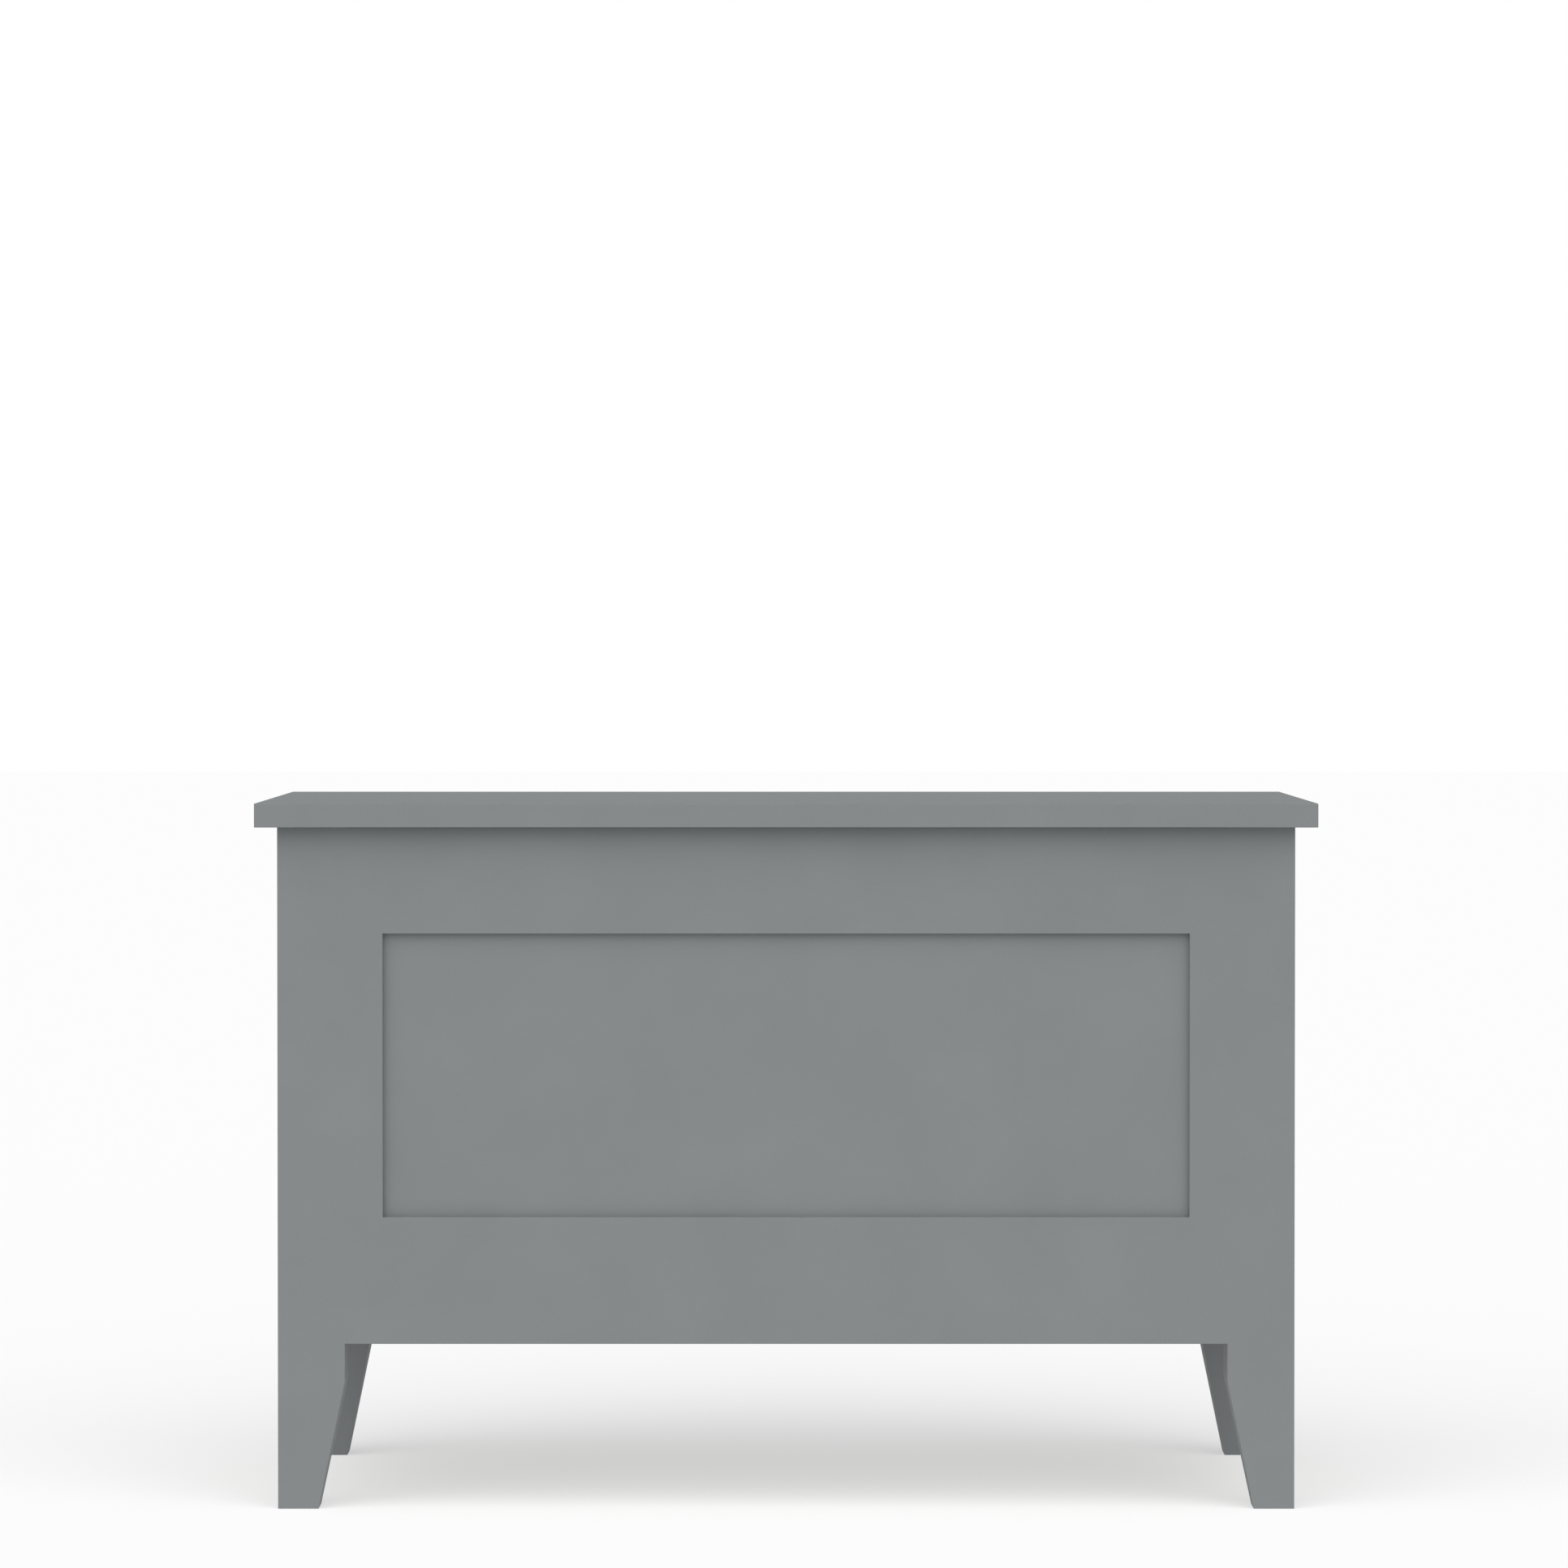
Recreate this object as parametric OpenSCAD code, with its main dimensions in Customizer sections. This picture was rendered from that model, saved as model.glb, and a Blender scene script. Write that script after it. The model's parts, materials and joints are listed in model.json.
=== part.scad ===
// Wooden toy box: four tapered corner posts joined by frames with recessed panels, and an
// overhanging lid that turns on two butt hinges and is held open by two parallel-arm friction stays.
// Origin on the floor under the middle of the lid. +X is right, +Y is back, +Z is up. Millimetres.

/* [Overall] */
// Width of the lid, left to right
lid_width = 840; // [640:5:1200]
// Depth of the lid, front to back
lid_depth = 420; // [340:5:620]
// Height from the floor to the top of the lid
total_height = 560; // [440:5:760]

/* [Lid] */
// How far the lid reaches past the box on all four sides
lid_overhang = 17; // [14:1:24]
// Thickness of the lid board
lid_thick = 19; // [17:1:28]
// Gap between the closed lid and the top of the box
lid_gap = 0.5; // [0.4:0.1:2]
// Width of each batten under the lid
batten_width = 44; // [30:1:70]
// Thickness of each batten under the lid
batten_thick = 16; // [14:1:22]
// Distance from the middle of the lid to the middle of each batten
batten_offset = 190; // [100:5:230]
// Space between a batten's ends and the frames in front of it and behind it
batten_end_gap = 24; // [12:1:50]

/* [Posts] */
// Side of each square corner post
post_size = 53; // [48:1:66]
// Side of each foot where it meets the floor
foot_size = 32; // [24:1:40]
// Height above the floor at which the legs start to taper
taper_start = 101; // [60:1:122]

/* [Frames] */
// Thickness of the rails and stiles
frame_thick = 19; // [18:1:24]
// Height of the lower edge of the bottom rails above the floor
rail_floor_gap = 131; // [125:1:150]
// Height of the bottom rails
bottom_rail_height = 100.5; // [80:0.5:120]
// Height of the top rails
top_rail_height = 84; // [70:0.5:100]
// Width of the stiles that stand beside the posts
stile_width = 30.5; // [20:0.5:50]
// Thickness of the panels
panel_thick = 6; // [5:0.5:8]
// How far the panels sit behind the outer face of the frames
panel_recess = 6; // [4:0.5:7]
// Depth of the grooves that hold the panels
groove_depth = 8; // [6:0.5:12]
// Room for the panels to swell at the bottom of the grooves
panel_float = 1; // [0.5:0.5:2]
// Radius of the dowels that join the rails to the posts
dowel_radius = 4; // [3:0.5:5]
// Length of the dowels
dowel_length = 40; // [30:1:50]
// Distance from a rail's edge to the middle of its nearest dowel
dowel_edge = 20; // [14:1:26]

/* [Vents] */
// Length of each vent slot in the back panel
vent_length = 76; // [40:1:80]
// Height of each vent slot
vent_height = 12; // [8:1:14]
// Distance from the top rail down to the middle of the vent slots
vent_drop = 30; // [16:1:50]
// Distance between the middles of neighbouring vent slots
vent_pitch = 130; // [100:1:140]

/* [Floor] */
// Side of the square cleats that carry the floor panel
cleat_size = 19; // [16:1:24]
// Height of the cleats above the lower edge of the rails
cleat_raise = 10; // [4:1:20]
// Thickness of the floor panel
floor_thick = 9; // [9:0.5:15]
// Clearance around the floor panel
floor_clearance = 1; // [0.5:0.5:3]

/* [Bumpers] */
// Radius of the rubber bumpers set into the tops of the posts
bumper_radius = 5; // [4:0.5:8]
// Depth of the holes that the bumpers sit in
bumper_sink = 2; // [1:0.5:4]

/* [Hinges] */
// Width of each butt hinge
hinge_width = 60; // [50:1:90]
// Distance from the side of the box to the middle of each hinge
hinge_inset = 150; // [120:5:170]
// Length of each hinge leaf, clear of the knuckles
leaf_length = 22; // [18:1:26]
// Thickness of the hinge leaves
leaf_thick = 1.6; // [1.6:0.1:2]
// Outer radius of the knuckles
knuckle_radius = 4; // [3.8:0.1:4.8]
// Radius of the hinge pins
hinge_pin_radius = 2; // [1.5:0.1:2.2]
// Number of knuckles in each hinge
knuckle_count = 5; // [3:2:7]

/* [Lid stays] */
// Distance between the two pivots of the lever, measured along the lid
stay_reach = 110; // [80:1:125]
// How far the lid pivot hangs below the hinge line
stay_lid_drop = 13; // [11:1:18]
// How far the base pivot sits below the hinge line
stay_base_drop = 58; // [45:1:70]
// Distance from the back frame to the base pivot
stay_base_inset = 18; // [15:1:24]
// Thickness of the stay's base plate, lever, link and lid bracket
stay_thick = 2; // [1.5:0.1:2.5]
// Half the width of the lever
lever_radius = 8; // [7:0.5:10]
// Half the width of the link
link_radius = 7; // [6:0.5:8]
// Radius of the pivot that joins the lever to the base plate
base_pivot_radius = 4; // [3:0.5:5]
// Radius of the pins that join the link to the lever and to the lid bracket
link_pin_radius = 3; // [2.5:0.5:4]
// Outer radius of the friction washers
washer_radius = 11; // [8:0.5:12]
// Thickness of the friction washers
washer_thick = 1; // [0.5:0.1:2]

/* [Fits] */
// Radial running clearance of the pins and pivots
running_fit = 0.05; // [0.02:0.01:0.1]
// Radial clearance of the link on the elbow pin
elbow_fit = 0.1; // [0.05:0.01:0.3]
// Radial gap for glue around the dowels
glue_gap = 0.1; // [0.05:0.05:0.2]
// Radial gap between a screw and its pilot hole
screw_gap = 0.05; // [0.02:0.01:0.1]
// Gap between faces that slide or turn past each other
moving_gap = 0.3; // [0.3:0.1:0.8]
// Room around a hinge in the lid's mortise
mortise_gap = 0.5; // [0.4:0.1:1]

/* [Hidden] */
$fn = 48;

paint = [0.53, 0.545, 0.545];
beech = [0.86, 0.74, 0.56];
steel = [0.72, 0.73, 0.74];
nylon = [0.9, 0.9, 0.87];
rubber = [0.15, 0.15, 0.16];

// Faces of the box, as quarter turns from the front
FRONT = 0;
RIGHT = 1;
BACK = 2;
LEFT = 3;

// Box
body_width = lid_width - 2 * lid_overhang;
body_depth = lid_depth - 2 * lid_overhang;
lid_bottom = total_height - lid_thick;
body_top = lid_bottom - lid_gap;
panel_low = rail_floor_gap + bottom_rail_height;
panel_high = body_top - top_rail_height;
cleat_low = rail_floor_gap + cleat_raise;
floor_low = cleat_low + cleat_size;
inner_depth = body_depth - 2 * frame_thick;
batten_length = inner_depth - 2 * batten_end_gap;
cut = 1; // how far a cutting shape runs past the surface that it cuts

// Screws: [radius of the shank, radius of the head, length]
small_screw = [1.6, 3.2, 14];
wood_screw = [2, 4, 30];
floor_screw = [1.6, 3.2, 22];
cleat_screw_edge = 48; // from the end of a cleat to its outer screws
floor_screw_step = 20; // from a cleat's own screws to the ones that come down through the floor
batten_screw_edge = 14; // from the end of a batten to its outer screws

// Middles of the four vent slots, counted in pitches from the middle of the panel
VENT_PLACES = [-1.5, -0.5, 0.5, 1.5];

// Hinge line
hinge_x = body_width / 2 - hinge_inset;
hinge_y = body_depth / 2 + knuckle_radius + moving_gap;
hinge_z = lid_bottom + leaf_thick - knuckle_radius;
knuckle_pitch = hinge_width / knuckle_count;
leaf_start = knuckle_radius + mortise_gap;
pin_head_radius = knuckle_radius - 1; // the head stays hidden behind the knuckles
pin_head_length = 1.5;
leaf_screw_edge = 10; // from the end of a leaf to its outer screws
leaf_screw_step = 3; // outer screws sit this much nearer to the knuckles, the middle one farther

// Stay pivots, each as [y, z], with the lid closed. The hinge line, the lid pivot, the elbow and the
// base pivot are the corners of a parallelogram, so the lever always turns as far as the lid does.
base_pivot = [inner_depth / 2 - stay_base_inset, hinge_z - stay_base_drop];
lid_pivot = [hinge_y - stay_reach, hinge_z - stay_lid_drop];
elbow = base_pivot + lid_pivot - [hinge_y, hinge_z];

// Layers of the stay, as distances from the middle of the box to each piece's outer face
base_out = body_width / 2 - post_size;
washer_out = base_out - stay_thick;
lever_out = washer_out - washer_thick - moving_gap;
link_out = lever_out - stay_thick - moving_gap;
link_in = link_out - stay_thick;
rivet_head = 1.5; // height of a rivet's heads
rivet_rim = 2; // how far they reach past the rivet's shank
pivot_head = 3; // height of the base pivot's head
washer_rim = 2; // how far the washers show round it
base_screw_step = 9; // from the edge of the washers to the base plate's screws
bracket_width = 24;
bracket_length = 46;
bracket_screw_offset = 14;

// Distance from the middle of the box to one of its faces, and the space between that face's posts
function face_distance(face) = (face % 2 == 0 ? body_depth : body_width) / 2;
function face_span(face) = (face % 2 == 0 ? body_width : body_depth) - 2 * post_size;

// Width of the opening that shows a face's panel: the back has no stiles
function opening(face) = face_span(face) - (face == BACK ? 0 : 2 * stile_width);

function dowel_heights() = [
    rail_floor_gap + dowel_edge, panel_low - dowel_edge,
    panel_high + dowel_edge, body_top - dowel_edge
];

// Places along a face for the screws of its cleat: the long cleats have one in the middle too
function cleat_places(face) =
    let (end = face_span(face) / 2 - cleat_screw_edge)
    face % 2 == 0 ? [-end, 0, end] : [-end, end];

// Left end of a hinge
function hinge_low(side) = side * hinge_x - hinge_width / 2;

// Puts a shape made against the plane y = 0, inside being +y, on a face of the box
module on_face(face)
    rotate([0, 0, 90 * face])
        translate([0, -face_distance(face), 0])
            children();

// Draws its children on the right and mirrors them for the left
module on_side(side)
    mirror([side < 0 ? 1 : 0, 0, 0])
        children();

// Box from one corner to the opposite one
module block(low, high)
    translate(low)
        cube(high - low);

// Plate of a 2D shape drawn in [y, z], from x = outer inwards by its thickness
module plate(outer, thick)
    translate([outer - thick, 0, 0])
        rotate([90, 0, 90])
            linear_extrude(thick)
                children();

// Rod along x from x = low to x = high, centred on a [y, z] point
module rod(point, radius, low, high)
    translate([low, point[0], point[1]])
        rotate([0, 90, 0])
            cylinder(r = radius, h = high - low);

// Flat bar with round ends around two 2D points
module bar(from, to, radius) {
    way = to - from;
    translate(from)
        rotate(atan2(way[1], way[0])) {
            circle(radius);
            translate([norm(way), 0])
                circle(radius);
            translate([0, -radius])
                square([norm(way), 2 * radius]);
        }
}

// Countersunk screw with a cross recess that points down from z = 0; grow makes its hole
module screw(size, grow = 0) {
    shank = size[0] + grow;
    head = size[1] + grow;
    difference() {
        rotate_extrude()
            polygon([
                [0, 0], [head, 0], [shank, shank - head],
                [shank, 2 * size[0] - size[2]], [0, -size[2] - grow]
            ]);
        if (grow == 0)
            for (turn = [0, 90])
                rotate([0, 0, turn])
                    cube([1.3 * size[1], 0.3 * size[1], 1.2 * size[0]], center = true);
    }
}

// ---- Frames ----

// Dowels of one face, half in the posts and half in the rails
module dowels(face, grow = 0)
    on_face(face)
        for (side = [-1, 1], height = dowel_heights())
            translate([side * face_span(face) / 2, frame_thick / 2, height])
                rotate([0, 90, 0])
                    cylinder(r = dowel_radius + grow, h = dowel_length + 2 * grow, center = true);

// Panel of one face; margin is how far it reaches into the grooves
module panel_blank(face, margin)
    on_face(face)
        block(
            [-opening(face) / 2 - margin, panel_recess, panel_low - margin],
            [opening(face) / 2 + margin, panel_recess + panel_thick, panel_high + margin]
        );

// What dowels and panel take out of a face's boards
module joinery(face) {
    dowels(face, glue_gap);
    panel_blank(face, groove_depth);
}

module rail(face, low, high)
    color(paint)
        difference() {
            on_face(face)
                block([-face_span(face) / 2, 0, low], [face_span(face) / 2, frame_thick, high]);
            joinery(face);
            children();
        }

module top_rail(face)
    rail(face, panel_high, body_top)
        children();

module bottom_rail(face)
    rail(face, rail_floor_gap, panel_low)
        cleat_screws_of(face, screw_gap);

// side is -1 for the stile on the left of someone who looks at the face
module stile(face, side) {
    low_x = side < 0 ? -face_span(face) / 2 : opening(face) / 2;
    color(paint)
        difference() {
            on_face(face)
                block([low_x, 0, panel_low], [low_x + stile_width, frame_thick, panel_high]);
            panel_blank(face, groove_depth);
        }
}

module face_panel(face)
    color(paint)
        panel_blank(face, groove_depth - panel_float);

// Outline of a post seen square on, with its outer side at 0
module post_outline()
    polygon([
        [0, 0], [foot_size, 0], [post_size, taper_start], [post_size, body_top], [0, body_top]
    ]);

// Post that tapers on its two inner sides; side and end give its corner
module post(side, end)
    color(paint)
        difference() {
            mirror([side > 0 ? 1 : 0, 0, 0])
                mirror([0, end > 0 ? 1 : 0, 0])
                    translate([-body_width / 2, -body_depth / 2, 0])
                        intersection() {
                            translate([0, post_size, 0])
                                rotate([90, 0, 0])
                                    linear_extrude(post_size)
                                        post_outline();
                            rotate([90, 0, 90])
                                linear_extrude(post_size)
                                    post_outline();
                        }
            joinery(end < 0 ? FRONT : BACK);
            dowels(side < 0 ? LEFT : RIGHT, glue_gap);
            bumper(side, end, 0);
            if (end > 0)
                stay_base_screws_of(side, screw_gap);
        }

// ---- Floor ----

module cleat(face)
    color(beech)
        difference() {
            on_face(face)
                block(
                    [-face_span(face) / 2, frame_thick, cleat_low],
                    [face_span(face) / 2, frame_thick + cleat_size, floor_low]
                );
            cleat_screws_of(face, screw_gap);
            floor_screws_of(face, screw_gap);
        }

// Screws through a cleat into the rail behind it
module cleat_screws_of(face, grow = 0)
    on_face(face)
        for (place = cleat_places(face))
            translate([place, frame_thick + cleat_size, cleat_low + cleat_size / 3])
                rotate([-90, 0, 0])
                    screw(wood_screw, grow);

// Screws down through the floor panel into a cleat, clear of the cleat's own screws
module floor_screws_of(face, grow = 0)
    on_face(face)
        for (place = cleat_places(face))
            translate([
                place + floor_screw_step, frame_thick + cleat_size / 2, floor_low + floor_thick
            ])
                screw(floor_screw, grow);

module floor_panel() {
    half_x = body_width / 2 - frame_thick - floor_clearance;
    half_y = inner_depth / 2 - floor_clearance;
    notch = post_size - frame_thick;
    color(beech)
        difference() {
            block([-half_x, -half_y, floor_low], [half_x, half_y, floor_low + floor_thick]);
            for (side = [-1, 1], end = [-1, 1])
                translate([side * half_x, end * half_y, floor_low + floor_thick / 2])
                    cube([2 * notch, 2 * notch, floor_thick + 2 * cut], center = true);
            for (face = [FRONT : LEFT])
                floor_screws_of(face, screw_gap);
        }
}

// ---- Vents and bumpers ----

module vents()
    on_face(BACK)
        for (place = VENT_PLACES)
            translate([place * vent_pitch, panel_recess + panel_thick + cut, panel_high - vent_drop])
                rotate([90, 0, 0])
                    linear_extrude(panel_thick + 2 * cut)
                        bar(
                            [-(vent_length - vent_height) / 2, 0],
                            [(vent_length - vent_height) / 2, 0],
                            vent_height / 2
                        );

// Bumper in the top of a post, standing proud of it by the given height
module bumper(side, end, proud)
    translate([
        side * (body_width - post_size) / 2, end * (body_depth - post_size) / 2,
        body_top - bumper_sink
    ])
        cylinder(r = bumper_radius, h = bumper_sink + (proud > 0 ? proud : cut));

// ---- Hinges ----

// Knuckles of a hinge, one of every two, starting from the first or the second
module knuckles(first)
    for (index = [first : 2 : knuckle_count - 1])
        translate([index * knuckle_pitch + (index > 0 ? moving_gap / 2 : 0), 0, 0])
            rotate([0, 90, 0])
                cylinder(r = knuckle_radius, h = knuckle_length(index));

// An inner knuckle gives up half a gap at each end, an outer one at its inner end only
function knuckle_length(index) =
    knuckle_pitch - (index > 0 && index < knuckle_count - 1 ? 1 : 0.5) * moving_gap;

// Strips that join a leaf to its knuckles, reaching back along y
module knuckle_tabs(first)
    for (index = [first : 2 : knuckle_count - 1])
        translate([
            index * knuckle_pitch + (index > 0 ? moving_gap / 2 : 0), -leaf_start - cut,
            knuckle_radius - leaf_thick
        ])
            cube([knuckle_length(index), leaf_start + cut, leaf_thick]);

// Plate that lies towards -y of the hinge line, level with the top of the knuckles
module leaf_plate(first) {
    knuckle_tabs(first);
    translate([0, -leaf_start - leaf_length, knuckle_radius - leaf_thick])
        cube([hinge_width, leaf_length, leaf_thick]);
}

module lid_leaf()
    color(steel)
        difference() {
            union() {
                knuckles(1);
                leaf_plate(1);
            }
            translate([-cut, 0, 0])
                rotate([0, 90, 0])
                    cylinder(r = hinge_pin_radius + running_fit, h = hinge_width + 2 * cut);
            leaf_screws(screw_gap);
        }

module leaf_screws(grow = 0)
    for (place = [-1, 0, 1])
        translate([
            hinge_width / 2 + place * (hinge_width / 2 - leaf_screw_edge),
            -leaf_start - leaf_length / 2 + (place == 0 ? -1 : 1) * leaf_screw_step,
            knuckle_radius - leaf_thick
        ])
            rotate([180, 0, 0])
                screw(small_screw, grow);

// Puts a leaf or its screws on a hinge of the lid
module at_lid_hinge(side)
    translate([hinge_low(side), hinge_y, hinge_z])
        children();

// Puts a leaf or its screws on the back of the box, turned down from the hinge line
module at_box_hinge(side)
    translate([hinge_low(side), hinge_y - moving_gap, hinge_z])
        rotate([90, 0, 0])
            children();

// Leaf of the box: its plate lies on the back rail while its knuckles stay on the hinge line
module box_leaf(side)
    color(steel)
        difference() {
            union() {
                translate([hinge_low(side), hinge_y, hinge_z])
                    knuckles(0);
                at_box_hinge(side)
                    leaf_plate(0);
            }
            rod(
                [hinge_y, hinge_z], hinge_pin_radius + running_fit,
                hinge_low(side) - cut, hinge_low(side) + hinge_width + cut
            );
            at_box_hinge(side)
                leaf_screws(screw_gap);
        }

module hinge_pin(side) {
    low = hinge_low(side);
    high = low + hinge_width;
    rod([hinge_y, hinge_z], hinge_pin_radius, low, high);
    rod([hinge_y, hinge_z], pin_head_radius, low - pin_head_length, low);
    rod([hinge_y, hinge_z], pin_head_radius, high, high + pin_head_length);
}

// Recess in the lid for a leaf, with deeper room over the knuckles and pin
module mortise(side) {
    reach = pin_head_length + mortise_gap;
    at_lid_hinge(side) {
        block(
            [0, -leaf_start - leaf_length, lid_bottom - hinge_z - cut],
            [hinge_width, 0, knuckle_radius]
        );
        block(
            [-reach, -leaf_start, lid_bottom - hinge_z - cut],
            [hinge_width + reach, leaf_start, knuckle_radius + mortise_gap]
        );
    }
}

// ---- Lid ----

module lid_panel()
    color(paint)
        difference() {
            block(
                [-lid_width / 2, -lid_depth / 2, lid_bottom],
                [lid_width / 2, lid_depth / 2, total_height]
            );
            for (side = [-1, 1]) {
                mortise(side);
                at_lid_hinge(side)
                    leaf_screws(screw_gap);
                batten_screws_of(side, screw_gap);
                stay_lid_screws_of(side, screw_gap);
            }
        }

module lid_batten(side)
    color(paint)
        difference() {
            translate([side * batten_offset, 0, lid_bottom - batten_thick / 2])
                cube([batten_width, batten_length, batten_thick], center = true);
            batten_screws_of(side, screw_gap);
        }

module batten_screws_of(side, grow = 0)
    for (place = [-1, 0, 1])
        translate([
            side * batten_offset, place * (batten_length / 2 - batten_screw_edge),
            lid_bottom - batten_thick
        ])
            rotate([180, 0, 0])
                screw(wood_screw, grow);

// ---- Lid stays, drawn on the right ----

// Middle of the base plate's lower (-1) or upper (1) screw
function base_screw_at(place) = base_pivot + [0, place * (washer_radius + base_screw_step)];

module stay_base(side)
    on_side(side)
        color(steel)
            difference() {
                plate(base_out, stay_thick)
                    bar(base_screw_at(-1), base_screw_at(1), lever_radius);
                rod(base_pivot, base_pivot_radius + running_fit, washer_out - cut, base_out + cut);
                stay_base_screws_of(1, screw_gap);
            }

module stay_base_screws_of(side, grow = 0)
    on_side(side)
        for (place = [-1, 1])
            translate([washer_out, base_screw_at(place)[0], base_screw_at(place)[1]])
                rotate([0, -90, 0])
                    screw(small_screw, grow);

module stay_base_pivot() {
    head_out = link_out - washer_thick;
    rod(base_pivot, base_pivot_radius, head_out, base_out);
    rod(base_pivot, washer_radius - washer_rim, head_out - pivot_head, head_out);
}

module stay_washer(outer)
    difference() {
        rod(base_pivot, washer_radius, outer - washer_thick, outer);
        rod(base_pivot, base_pivot_radius + running_fit, outer - washer_thick - cut, outer + cut);
    }

module stay_lever(side)
    on_side(side)
        color(steel)
            difference() {
                plate(lever_out, stay_thick)
                    bar(base_pivot, elbow, lever_radius);
                rod(base_pivot, base_pivot_radius + running_fit, link_out, lever_out + cut);
                rod(elbow, link_pin_radius + running_fit, link_out, lever_out + cut);
            }

module stay_link(side)
    on_side(side)
        color(steel)
            difference() {
                plate(link_out, stay_thick)
                    bar(lid_pivot, elbow, link_radius);
                rod(lid_pivot, link_pin_radius + running_fit, link_in - cut, link_out + cut);
                rod(elbow, link_pin_radius + elbow_fit, link_in - cut, link_out + cut);
            }

// Pin with two heads through the link and the plate next to it
module link_pin(point) {
    low = link_in - moving_gap;
    rod(point, link_pin_radius, low, lever_out);
    rod(point, link_pin_radius + rivet_rim, low - rivet_head, low);
    rod(point, link_pin_radius + rivet_rim, lever_out, lever_out + rivet_head);
}

module stay_lid_bracket(side)
    on_side(side)
        color(steel)
            difference() {
                union() {
                    plate(lever_out, stay_thick)
                        bar(lid_pivot, [lid_pivot[0], lid_bottom - lever_radius], lever_radius);
                    block(
                        [
                            lever_out - stay_thick, lid_pivot[0] - bracket_length / 2,
                            lid_bottom - stay_thick
                        ],
                        [
                            lever_out - stay_thick + bracket_width,
                            lid_pivot[0] + bracket_length / 2, lid_bottom
                        ]
                    );
                }
                rod(lid_pivot, link_pin_radius + running_fit, link_out, lever_out + cut);
                stay_lid_screws_of(1, screw_gap);
            }

module stay_lid_screws_of(side, grow = 0)
    on_side(side)
        for (place = [-1, 1])
            translate([
                lever_out + (bracket_width - stay_thick) / 2,
                lid_pivot[0] + place * bracket_screw_offset, lid_bottom - stay_thick
            ])
                rotate([180, 0, 0])
                    screw(small_screw, grow);

// ---- One module for each node ----

module front_left_post() post(-1, -1);
module front_right_post() post(1, -1);
module back_left_post() post(-1, 1);
module back_right_post() post(1, 1);

module front_top_rail() top_rail(FRONT);
module front_bottom_rail() bottom_rail(FRONT);
module front_left_stile() stile(FRONT, -1);
module front_right_stile() stile(FRONT, 1);
module front_panel() face_panel(FRONT);

module left_top_rail() top_rail(LEFT);
module left_bottom_rail() bottom_rail(LEFT);
module left_front_stile() stile(LEFT, 1);
module left_back_stile() stile(LEFT, -1);
module left_panel() face_panel(LEFT);

module right_top_rail() top_rail(RIGHT);
module right_bottom_rail() bottom_rail(RIGHT);
module right_front_stile() stile(RIGHT, -1);
module right_back_stile() stile(RIGHT, 1);
module right_panel() face_panel(RIGHT);

module back_top_rail()
    top_rail(BACK)
        for (side = [-1, 1])
            at_box_hinge(side)
                leaf_screws(screw_gap);
module back_bottom_rail() bottom_rail(BACK);
module back_panel()
    color(paint)
        difference() {
            panel_blank(BACK, groove_depth - panel_float);
            vents();
        }

module front_cleat() cleat(FRONT);
module back_cleat() cleat(BACK);
module left_cleat() cleat(LEFT);
module right_cleat() cleat(RIGHT);

module frame_dowels()
    color(beech)
        for (face = [FRONT : LEFT])
            dowels(face);
module cleat_screws()
    color(steel)
        for (face = [FRONT : LEFT])
            cleat_screws_of(face);
module floor_screws()
    color(steel)
        for (face = [FRONT : LEFT])
            floor_screws_of(face);
module lid_bumpers()
    color(rubber)
        for (side = [-1, 1], end = [-1, 1])
            bumper(side, end, lid_gap);

module left_hinge_box_leaf() box_leaf(-1);
module right_hinge_box_leaf() box_leaf(1);
module hinge_pins()
    color(steel)
        for (side = [-1, 1])
            hinge_pin(side);
module hinge_box_screws()
    color(steel)
        for (side = [-1, 1])
            at_box_hinge(side)
                leaf_screws();

module left_stay_base() stay_base(-1);
module right_stay_base() stay_base(1);
module stay_base_pivots()
    color(steel)
        for (side = [-1, 1])
            on_side(side)
                stay_base_pivot();
module stay_washers()
    color(nylon)
        for (side = [-1, 1], outer = [washer_out, link_out])
            on_side(side)
                stay_washer(outer);
module stay_base_screws()
    color(steel)
        for (side = [-1, 1])
            stay_base_screws_of(side);

module left_lid_batten() lid_batten(-1);
module right_lid_batten() lid_batten(1);
module batten_screws()
    color(steel)
        for (side = [-1, 1])
            batten_screws_of(side);
module left_hinge_lid_leaf() at_lid_hinge(-1) lid_leaf();
module right_hinge_lid_leaf() at_lid_hinge(1) lid_leaf();
module hinge_lid_screws()
    color(steel)
        for (side = [-1, 1])
            at_lid_hinge(side)
                leaf_screws();

module left_stay_lid_bracket() stay_lid_bracket(-1);
module right_stay_lid_bracket() stay_lid_bracket(1);
module stay_lid_pins()
    color(steel)
        for (side = [-1, 1])
            on_side(side)
                link_pin(lid_pivot);
module stay_lid_screws()
    color(steel)
        for (side = [-1, 1])
            stay_lid_screws_of(side);

module left_stay_lever() stay_lever(-1);
module left_stay_elbow_pin() on_side(-1) color(steel) link_pin(elbow);
module left_stay_link() stay_link(-1);
module right_stay_lever() stay_lever(1);
module right_stay_elbow_pin() color(steel) link_pin(elbow);
module right_stay_link() stay_link(1);

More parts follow.
